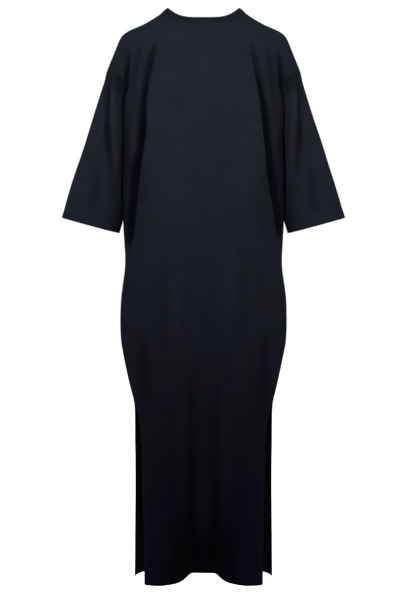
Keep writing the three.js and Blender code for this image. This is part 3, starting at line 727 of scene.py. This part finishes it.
def panel_shade(panel, grid, level_count):
    """Painted shadow beside the sleeves, painted shade along the armholes, and painted light and shade on the
    back's middle fold and the front's slit bands.
    """
    x, z = np.abs(grid[:, :, 0]), grid[:, :, 2]
    shade = np.zeros_like(x)
    for side in SIDE_SHADES:
        past = (x - smooth_value(side, "from_x", z)) / smooth_value(side, "fade", z)
        shade += smooth_value(side, "dark", z) * smoothstep(past, 0, 1)
    from_edge = np.minimum(
        np.linalg.norm(grid - grid[:, :1], axis=2),
        np.linalg.norm(grid - grid[:, -1:], axis=2),
    )
    low = smoothstep(-z, -SEAM_SHADE["from_z"], -SEAM_SHADE["to_z"])
    armhole = (np.arange(len(grid)) >= level_count)[:, None]
    shade += armhole * low * SEAM_SHADE["dark"] * smoothstep(from_edge, SEAM_SHADE["reach"], 0)
    if panel is BACK:
        half = smooth_value(BACK_DRAPES[0], "half", z)
        shade += smooth_value(SKIRT_SHADE, "floor", z) * trough(x, FLOOR_REACH * half)
        shade += smooth_value(SKIRT_SHADE, "walls", z) * trough(x - half, WALL_REACH * half)
        shade += smooth_value(SKIRT_SHADE, "lobes", z) * smoothstep(x, *LOBES_FROM)
    else:
        shade += smooth_value(SLIT_SHADE, "dark", z) * smoothstep(x, *SLIT_BAND)
    return shade


def hem_drop(panel, grid):
    """How much lower the cloth hangs at the hem: all along the front, and at the back's middle and lobes."""
    low = smoothstep(-grid[:, :, 2], -HEM_Z - HEM_DROP_RISE, -HEM_Z)
    if panel is FRONT:
        return HEM_DROP * low
    x = np.abs(grid[:, :, 0])
    return HEM_DROP * low * (1 - smoothstep(x, *MIDDLE_TO) + smoothstep(x, *LOBES_FROM))


def folded_panel(panel):
    """A panel's grid with its folds and swell, and the painted shade at each point."""
    grid, level_count = panel_grid(panel)
    normals = grid_normals(grid, False, -panel["facing"])
    x, z = grid[:, :, 0], grid[:, :, 2]
    depth = fold_depth(sharpened(panel["folds"]) + panel["creases"], x, z)
    guard = edge_guard(x.shape, False)
    across = guard[level_count // 2].copy()
    guard[:level_count] = np.maximum(guard[:level_count], across)
    shade = shade_of(depth) + panel_shade(panel, grid, level_count)
    depth += unevenness(grid, panel["seed"])
    cloth = grid - normals * (depth * guard)[:, :, None]
    cloth[:, :, 2] -= hem_drop(panel, grid)
    return cloth, np.minimum(shade, DARKEST_SHADE)


def cuff_points(side, angles):
    """Points of the cuff's edge at angles from its outer side, round by the back."""
    round_ = 2 / CUFF_SQUARE
    across = CUFF["half_width"] * power(np.cos(angles), round_)
    deep = -CUFF["half_depth"] * power(np.sin(angles), round_)
    return np.stack([
        side * (CUFF["x"] + across * math.cos(CUFF_TILT_OUT)),
        CUFF["y"] + deep,
        CUFF["z"] + across * math.sin(CUFF_TILT_OUT) + deep * math.sin(CUFF_TILT_FORWARD),
    ], axis=1)


def body_half_width(y, z):
    """How far the body reaches sideways below the armholes, at depths y and heights z."""
    reach = 0
    for panel, here in ((BACK, y < 0), (FRONT, y >= 0)):
        square = smooth_value(LEVELS, panel["square"], z)
        depth = np.minimum(1, np.abs(y) / smooth_value(LEVELS, panel["depth"], z))
        reach = reach + here * (1 - depth ** square) ** (1 / square)
    return smooth_value(LEVELS, "side", z) * reach


def folded_sleeve(side):
    """Rings of the sleeve from the armhole seam to the cuff, each from the shoulder round by the back."""
    back = armhole_line(-1, side)[::-1]
    front = armhole_line(1, side)
    armhole = np.vstack([back, front[1:-1]])
    angles = np.linspace(0, 2 * math.pi, len(armhole), endpoint=False)
    cuff = cuff_points(side, angles)
    length = np.linalg.norm(cuff - armhole, axis=1).mean()
    count = int(length / SLEEVE_ROW_STEP)
    inner_side = ((1 - np.cos(angles - INNER_SIDE_TURN)) / 2) ** INNER_SIDE_POWER
    outer_side = ((1 + np.cos(angles)) / 2) ** INNER_SIDE_POWER
    places = np.linspace(0, 1, count + 1)
    shape = {name: smooth_value(SLEEVE_SHAPE, name, places, "along") for name in SLEEVE_SHAPE}
    rings = []
    for k, along in enumerate(places):
        ring = mix(armhole, cuff, along)
        ring[:, 1] += shape["forward"][k]
        moved = np.abs(ring[:, 0]) + shape["outward"][k] * outer_side - shape["inward"][k] * inner_side
        nearest = body_half_width(ring[:, 1], ring[:, 2]) + shape["clear"][k]
        ring[:, 0] = side * np.maximum(moved, nearest)
        rings.append(ring)
    grid = np.array(rings)
    normals = grid_normals(grid, True, side)
    x, z = grid[:, :, 0] * side, grid[:, :, 2]
    is_back = grid[:, :, 1] < 0
    depth = np.where(is_back, fold_depth(SLEEVE_BACK_FOLDS, x, z), fold_depth(SLEEVE_FRONT_FOLDS, x, z))
    # Painted shade on the sleeve: in its folds, all round near the armhole, on its inner side against the
    # body and next to its seam
    painted_sleeve_shade = {name: smooth_value(SLEEVE_SHADE, name, places, "along")[:, None] for name in SLEEVE_SHADE}
    shade = shade_of(depth) + painted_sleeve_shade["all_round"]
    shade += painted_sleeve_shade["against_body"] * inner_side ** INNER_EDGE_POWER + painted_sleeve_shade["at_seam"] * (1 - outer_side)
    depth += unevenness(grid, SLEEVE_SEEDS[side])
    cloth = grid - normals * (depth * edge_guard(x.shape, True))[:, :, None]
    return cloth, np.minimum(shade, DARKEST_SHADE)


# Outward directions shared by the pieces that meet at a seam, so that their walls meet too.
seam_normals = {}


def place_key(point):
    return tuple(np.round(point, SAME_PLACE_DIGITS) + 0.0)


def edge_spots(shape, closed):
    """Row and column of every point on a grid's open edges."""
    rows, columns = shape
    spots = [(0, c) for c in range(columns)] + [(rows - 1, c) for c in range(columns)]
    if not closed:
        spots += [(r, c) for r in range(1, rows - 1) for c in (0, columns - 1)]
    return spots


def register_edges(grid, normals, closed, layer):
    """Notes a grid's outward directions along its edges, one for each layer of the dress."""
    for r, c in edge_spots(grid.shape[:2], closed):
        layers = seam_normals.setdefault(place_key(grid[r, c]), {})
        layers[layer] = layers.get(layer, 0) + normals[r, c]


def share_edges(grid, normals, closed):
    """Directions of the wall's thickness, with how much further it reaches where a seam bends."""
    directions = normals.copy()
    reach = np.ones(grid.shape[:2])
    for r, c in edge_spots(grid.shape[:2], closed):
        layers = [part / np.linalg.norm(part) for part in seam_normals[place_key(grid[r, c])].values()]
        total = sum(layers)
        directions[r, c] = total / np.linalg.norm(total)
        reach[r, c] = 1 / max(STEEPEST_MITRE, directions[r, c] @ layers[0])
    return directions, reach


def add_piece(name, points, faces, flat, shade, material):
    """A visible piece: its points, where each lies on the flat cloth, and the painted shade at each point."""
    mesh = bpy.data.meshes.new(name)
    mesh.from_pydata((points * MM).tolist(), [], [face.tolist() for face in faces])
    cloth_map = mesh.uv_layers.new(name="cloth")
    loops = np.empty(len(mesh.loops), int)
    mesh.loops.foreach_get("vertex_index", loops)
    cloth_map.data.foreach_set("uv", (flat * MM)[loops].ravel())
    # Painted shade and light, kept in the 'fold' attribute that darkens or lightens the colour
    depth = mesh.attributes.new("fold", "FLOAT", "POINT")
    depth.data.foreach_set("value", shade)
    mesh.shade_smooth()
    mesh.materials.append(materials[material])
    piece = bpy.data.objects.new(name, mesh)
    bpy.context.collection.objects.link(piece)
    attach(piece, "root")
    return piece


def flat_grid(across, up):
    """Where a grid's points lie on the flat cloth, from the lengths across it and up it."""
    return np.stack(np.meshgrid(across, up), axis=-1).reshape(-1, 2)


def wall(name, grid, shade, directions, thickness, closed):
    """A closed shell over a grid, with the cloth's own flat coordinates as its UV map."""
    rows, columns = grid.shape[:2]
    inner = grid - directions * thickness[:, :, None]
    points = np.vstack([grid.reshape(-1, 3), inner.reshape(-1, 3)])
    spot = np.arange(rows * columns).reshape(rows, columns)
    if closed:
        spot = np.hstack([spot, spot[:, :1]])
    quads = np.stack([spot[:-1, :-1], spot[:-1, 1:], spot[1:, 1:], spot[1:, :-1]], axis=-1).reshape(-1, 4)
    behind = rows * columns
    lining = quads[:, ::-1] + behind

    def rim(line):
        return np.stack([line[1:], line[:-1], line[:-1] + behind, line[1:] + behind], axis=-1)

    rims = [rim(spot[0]), rim(spot[-1][::-1])]
    if not closed:
        rims += [rim(spot[:, 0][::-1]), rim(spot[:, -1])]
    faces = np.vstack([quads, lining, *rims])
    first, second, third, fourth = points[faces].transpose(1, 0, 2)
    volume = (first * np.cross(second - first, third - first)).sum()
    volume += (first * np.cross(third - first, fourth - first)).sum()
    if volume < 0:
        faces = faces[:, ::-1]
    flat = np.tile(flat_grid(lengths_of(grid[rows // 2]), lengths_of(grid[:, columns // 2])), (2, 1))
    return add_piece(name, points, faces, flat, np.tile(shade.ravel(), 2), "jersey_knit")


def node(tree, kind, inputs=None, **settings):
    """A new shader node, whose inputs are values or the outputs of other nodes."""
    made = tree.nodes.new(kind)
    for key, value in settings.items():
        setattr(made, key, value)
    for key, value in (inputs or {}).items():
        if isinstance(value, bpy.types.NodeSocket):
            tree.links.new(value, made.inputs[key])
        else:
            made.inputs[key].default_value = value
    return made


def math_node(tree, operation, *values):
    return node(tree, "ShaderNodeMath", dict(enumerate(values)), operation=operation).outputs[0]


def noise(tree, place, kind):
    return node(tree, "ShaderNodeTexNoise", {"Vector": place, **NOISES[kind]}).outputs["Fac"]


def tone(tree, kind, value, lowest=0.0, highest=1.0):
    """Turns a value into a factor of the colour, from the darkest of its kind to the lightest."""
    darkest, lightest = TONES[kind]
    return node(tree, "ShaderNodeMapRange", {
        "Value": value,
        "From Min": lowest,
        "From Max": highest,
        "To Min": darkest,
        "To Max": lightest,
    }).outputs[0]


def blended(tree, share, first, second):
    inputs = {"Factor": share, MIX_FIRST: first, MIX_SECOND: second}
    return node(tree, "ShaderNodeMix", inputs, data_type="RGBA").outputs[MIX_RESULT]


def product(tree, first, second):
    return node(tree, "ShaderNodeVectorMath", {0: first, 1: second}, operation="MULTIPLY").outputs[0]


def knit_material(name, top, hem, wale, course, strength, sheen):
    """Matte knit cloth: columns of V stitches, soft mottling and fuzz, with painted shade darkening it
    towards the hem and in its furrows and folds.
    """
    material = bpy.data.materials.new(name)
    material.use_nodes = True
    tree = material.node_tree
    tree.nodes.clear()
    uv = node(tree, "ShaderNodeUVMap", uv_map="cloth")
    flat = node(tree, "ShaderNodeSeparateXYZ", {0: uv.outputs[0]})
    place = node(tree, "ShaderNodeTexCoord").outputs["Object"]
    height = node(tree, "ShaderNodeSeparateXYZ", {0: place}).outputs["Z"]
    column = math_node(tree, "DIVIDE", flat.outputs["X"], wale)
    leg = math_node(tree, "PINGPONG", column, 0.5)
    row = math_node(tree, "DIVIDE", flat.outputs["Y"], course)
    slant = math_node(tree, "ADD", row, leg)
    turn = math_node(tree, "MULTIPLY", slant, 2 * math.pi)
    loops = math_node(tree, "SINE", turn)
    ridge = math_node(tree, "MULTIPLY", leg, LEG_RELIEF)
    knit = math_node(tree, "MULTIPLY_ADD", loops, LOOP_RELIEF, ridge)
    relief = math_node(tree, "MULTIPLY_ADD", noise(tree, place, "fuzz"), FUZZ_RELIEF, knit)
    bump = node(tree, "ShaderNodeBump", {"Height": relief, "Strength": strength, "Distance": RELIEF_HEIGHT})
    # Painted shade: the colour goes from the neck colour down to the darker hem colour, standing in for light
    # falling off
    painted_falloff = node(tree, "ShaderNodeMapRange", {
        "Value": height,
        "From Min": HEM_Z * MM,
        "From Max": TOP_COLOUR_Z,
    }, interpolation_type="SMOOTHSTEP").outputs[0]
    dye_with_painted_falloff = blended(tree, painted_falloff, (*hem, 1), (*top, 1))
    hue = blended(tree, noise(tree, place, "drift"), *DRIFT_HUES)
    # Painted shade and light from the 'fold' attribute: darker in folds, hollows and the sleeves' shadow,
    # lighter where painted as lit
    fold = node(tree, "ShaderNodeAttribute", attribute_name="fold").outputs["Fac"]
    hollow = math_node(tree, "MULTIPLY_ADD", fold, -FOLD_SHADE, 1.0)
    mottle = tone(tree, "mottle", noise(tree, place, "mottle"))
    speckle = tone(tree, "speckle", noise(tree, place, "speckle"))
    # Painted shade in the knit's furrows: the colour is darker where the stitches' relief is low
    furrow = tone(tree, "furrow", knit, -LOOP_RELIEF, LOOP_RELIEF + LEG_RELIEF / 2)
    speckle_and_furrow_shade = math_node(tree, "MULTIPLY", speckle, furrow)
    mottle_speckle_and_furrow_shade = math_node(tree, "MULTIPLY", mottle, speckle_and_furrow_shade)
    light = math_node(tree, "MULTIPLY", mottle_speckle_and_furrow_shade, hollow)
    shader = node(tree, "ShaderNodeBsdfPrincipled", {
        "Base Color": product(tree, product(tree, dye_with_painted_falloff, hue), light),
        "Normal": bump.outputs[0],
        "Roughness": ROUGHNESS,
        "Specular IOR Level": 0.0,
        "Sheen Weight": sheen,
        "Sheen Roughness": SHEEN_ROUGHNESS,
        "Sheen Tint": SHEEN_TINT,
    })
    output = node(tree, "ShaderNodeOutputMaterial", {"Surface": shader.outputs[0]})
    output.target = "ALL"
    return material


def edge_path(lines, ways, shades, distance):
    """A row of sewing: the place at a distance along each line, its outward direction and its shade."""
    path = []
    for line, way, shade in zip(lines, ways, shades):
        lengths = lengths_of(line)
        path.append([np.interp(distance, lengths, values) for values in (*line.T, *way.T, shade)])
    return np.array(path)


def stitch_row(path, closed=False):
    """Stitches at even lengths along a path, each a short thread whose ends dip into the cloth."""
    if closed:
        path = np.vstack([path, path[:1]])
    lengths = lengths_of(path[:, :3])
    count = int(lengths[-1] / STITCH_PITCH)
    middles = (np.arange(count) + 0.5) * lengths[-1] / count

    def at(places):
        return np.stack([np.interp(places, lengths, values) for values in path.T], axis=-1)

    ends = STITCH_LENGTH / 2
    ahead = unit(at(middles + ends)[:, :3] - at(middles - ends)[:, :3])[:, None, None]
    outward = unit(at(middles)[:, 3:6])[:, None, None]
    side = unit(np.cross(ahead, outward))
    angles = (np.arange(STITCH_SIDES) * 2 * math.pi / STITCH_SIDES)[:, None]
    round_ = side * np.cos(angles) + outward * np.sin(angles)
    centres = at(middles[:, None] + STITCH["along"] * STITCH_LENGTH)[:, :, None, :3]
    thickness = (STITCH["thick"] * THREAD_RADIUS)[:, None, None]
    points = centres + outward * STITCH["lift"][:, None, None] + round_ * thickness
    shades = np.repeat(at(middles)[:, 6], len(STITCH["along"]) * STITCH_SIDES)
    return points, shades


def stitching(name, rows):
    """All the stitches of one piece of the dress, as one object."""
    points = np.vstack([row for row, _ in rows])
    spot = np.arange(points.size // 3).reshape(points.shape[:3])
    turned = np.roll(spot, -1, axis=2)
    quads = np.stack([spot[:, :-1], spot[:, 1:], turned[:, 1:], turned[:, :-1]], axis=-1).reshape(-1, 4)
    caps = np.vstack([spot[:, 0], spot[:, -1, ::-1]])
    faces = [*quads, *caps]
    along = np.broadcast_to(STITCH["along"][None, :, None] * STITCH_LENGTH, points.shape[:3])
    around = np.broadcast_to(np.arange(STITCH_SIDES) * THREAD_RADIUS, points.shape[:3])
    flat = np.stack([around, along], axis=-1).reshape(-1, 2)
    shade = np.concatenate([shades for _, shades in rows])
    return add_piece(name, points.reshape(-1, 3), faces, flat, shade, "thread")


def sewn_panel(surface, directions, shade, slit_top):
    """Rows of sewing on a panel: two at the hem, one along each slit edge and one below the neck seam."""
    up = (surface.transpose(1, 0, 2), directions.transpose(1, 0, 2), shade.T)
    rows = [stitch_row(edge_path(*up, distance)) for distance in HEM_ROWS]
    across = (surface[:slit_top], directions[:slit_top], shade[:slit_top])
    rows.append(stitch_row(edge_path(*across, SLIT_ROW)))
    rows.append(stitch_row(edge_path(*(part[:, ::-1] for part in across), SLIT_ROW)))
    shoulder = SHOULDER_COLUMNS * COLUMN_SPLIT
    neck = slice(shoulder, -shoulder)
    rows.append(stitch_row(edge_path(*(part[neck, ::-1] for part in up), NECK_ROW)))
    return rows


def sewn_sleeve(surface, directions, shade):
    """Two rows of sewing round the cuff."""
    down = (surface[::-1].transpose(1, 0, 2), directions[::-1].transpose(1, 0, 2), shade[::-1].T)
    return [stitch_row(edge_path(*down, distance), closed=True) for distance in HEM_ROWS]


def neckband_grid():
    """The band's outer face from the neck seam up, round its folded edge and down its inner face."""
    rings = {}
    half = np.linspace(-math.pi / 2, math.pi / 2, RIBS * RIB_COLUMNS // 2, endpoint=False)
    for edge, side, dip, ends in (
        ("low", NECK_SIDE, np.cos, (NECK_BACK, NECK_FRONT)),
        ("high", BAND_SIDE, band_dip, (BAND_BACK, BAND_FRONT)),
    ):
        rings[edge] = np.vstack([ring_point(side, end, dip, half) for end in ends])
        rings[edge][len(half):, 0] *= -1
    low, high = rings["low"], rings["high"]
    along = np.roll(low, -1, axis=0) - np.roll(low, 1, axis=0)
    outward = unit(np.cross(along, high - low))
    upward = unit(high - low)
    width = np.linalg.norm(high - low, axis=1, keepdims=True)
    rib = np.cos(np.arange(len(low)) * 2 * math.pi / RIB_COLUMNS)[:, None] * RIB_RELIEF
    radius = BAND_CLOTH / 2
    profile = []
    for share in np.linspace(0, 1, BAND_FACE_ROWS + 1):
        bulge = BAND_BULGE * math.sin(math.pi * share)
        sunk = DEEP_SEAM * (1 - share) ** BAND_SEAM_POWER
        profile.append(low + upward * (width - radius) * share + outward * (bulge - sunk + rib))
    for turn in np.linspace(0, math.pi, BAND_FOLD_ROWS + 1)[1:-1]:
        out = (radius + rib) * math.cos(turn) - radius
        over = (radius + rib) * math.sin(turn)
        profile.append(low + upward * (width - radius + over) + outward * out)
    for share in np.linspace(1, 0, BAND_FACE_ROWS + 1):
        profile.append(low + upward * (width - radius) * share - outward * (BAND_CLOTH + rib))
    # Painted shade: the colour is darker in the furrows between the ribs
    furrows = RIB_SHADE * (1 - rib[:, 0] / RIB_RELIEF) / 2
    return np.array(profile + [profile[0]]), np.tile(furrows, len(profile))


def ring(name, grid, shade):
    """A closed ring whose section is closed too: the grid's first and last rows are the same points."""
    rows, columns = grid.shape[0] - 1, grid.shape[1]
    spot = np.arange(rows * columns).reshape(rows, columns)
    right, up = np.roll(spot, -1, axis=1), np.roll(spot, -1, axis=0)
    corner = np.roll(up, -1, axis=1)
    faces = np.stack([spot, right, corner, up], axis=-1).reshape(-1, 4)
    flat = flat_grid(lengths_of(grid[0]), lengths_of(grid[:, 0])[:-1])
    return add_piece(name, grid[:-1].reshape(-1, 3), faces, flat, shade, "rib_knit")


def make_floor():
    half, z = FLOOR["half"], FLOOR["z"]
    corners = [(-half, -half, z), (half, -half, z), (half, half, z), (-half, half, z)]
    mesh = bpy.data.meshes.new("floor")
    mesh.from_pydata(corners, [], [(0, 1, 2, 3)])
    floor = bpy.data.objects.new("floor", mesh)
    bpy.context.collection.objects.link(floor)
    material = bpy.data.materials.new("floor_paint")
    material.use_nodes = True
    shader = material.node_tree.nodes["Principled BSDF"]
    shader.inputs["Base Color"].default_value = FLOOR_PAINT
    shader.inputs["Emission Color"].default_value = WHITE
    shader.inputs["Emission Strength"].default_value = FLOOR["glow"]
    shader.inputs["Roughness"].default_value = FLOOR["roughness"]
    mesh.materials.append(material)


def make_lamp(name, place, size, power):
    """A square lamp that faces the middle of the dress."""
    data = bpy.data.lights.new(name, "AREA")
    data.size = size
    data.energy = power
    lamp = bpy.data.objects.new(name, data)
    lamp.location = place
    x, y, z = np.array(LAMP_AIM, float) - np.array(place, float)
    lamp.rotation_euler = (math.atan2(math.hypot(x, y), -z), 0, math.atan2(y, x) - math.pi / 2)
    bpy.context.collection.objects.link(lamp)


# Materials, and the grids of the jersey pieces: points, shade, closed or not, sign and layer
materials = {name: knit_material(name, *knit) for name, knit in KNITS.items()}
grids = {
    "back_panel": (*folded_panel(BACK), False, 1, "body"),
    "front_panel": (*folded_panel(FRONT), False, -1, "body"),
    "sleeve_left": (*folded_sleeve(-1), True, -1, "sleeve"),
    "sleeve_right": (*folded_sleeve(1), True, 1, "sleeve"),
}
normals = {name: grid_normals(grid, closed, sign) for name, (grid, _, closed, sign, _) in grids.items()}
for name, (grid, _, closed, _, layer) in grids.items():
    register_edges(grid, normals[name], closed, layer)

# The jersey pieces and their sewing
for name, (grid, shade, closed, _, _) in grids.items():
    directions, reach = share_edges(grid, normals[name], closed)
    thickness = CLOTH * reach
    groove = np.zeros_like(reach)
    if closed:
        groove[0] = DEEP_SEAM
        thickness[-int(HEM_TURN / SLEEVE_ROW_STEP):] = TURNED_CLOTH
    else:
        slit_top = int(np.argmax(grid[:, 0, 2] >= SLIT_TOP_Z))
        underarm = len(grid) - 1 - ROLL_ROWS
        groove[slit_top:underarm, [0, -1]] = FLAT_SEAM
        groove[underarm:, [0, -1]] = DEEP_SEAM
        shoulder = SHOULDER_COLUMNS * COLUMN_SPLIT
        groove[-1, 1:-1] = FLAT_SEAM
        groove[-1, shoulder:-shoulder] = DEEP_SEAM
        thickness[grid[:, :, 2] < HEM_Z + HEM_TURN] = TURNED_CLOTH
        thickness[:slit_top, :TURNED_COLUMNS] = TURNED_CLOTH
        thickness[:slit_top, -TURNED_COLUMNS:] = TURNED_CLOTH
    surface = grid - directions * groove[:, :, None]
    piece = wall(f"{name}_cloth", surface, shade, directions, thickness, closed)
    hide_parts(name)
    if closed:
        sewing = sewn_sleeve(surface, directions, shade)
    else:
        sewing = sewn_panel(surface, directions, shade, slit_top)
    stitches = stitching(f"{name}_stitching", sewing)

# The neckband
neckband = ring("neckband_rib", *neckband_grid())
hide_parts("neckband")

# The stage, in a white surround
make_floor()
for name, lamp in LAMPS.items():
    make_lamp(name, *lamp)
world = bpy.data.worlds.new("surround")
bpy.context.scene.world = world
world.use_nodes = True
surround = world.node_tree.nodes["Background"]
surround.inputs["Color"].default_value = WHITE
surround.inputs["Strength"].default_value = 1.0
bpy.context.scene.view_settings.view_transform = "Standard"

# The camera
camera_data = bpy.data.cameras.new("camera")
camera_data.lens = CAMERA_LENS
camera_data.sensor_width = CAMERA_SENSOR
camera = bpy.data.objects.new("camera", camera_data)
camera.location = CAMERA_PLACE
camera.rotation_euler = (math.pi / 2, 0, 0)
bpy.context.collection.objects.link(camera)
bpy.context.scene.camera = camera
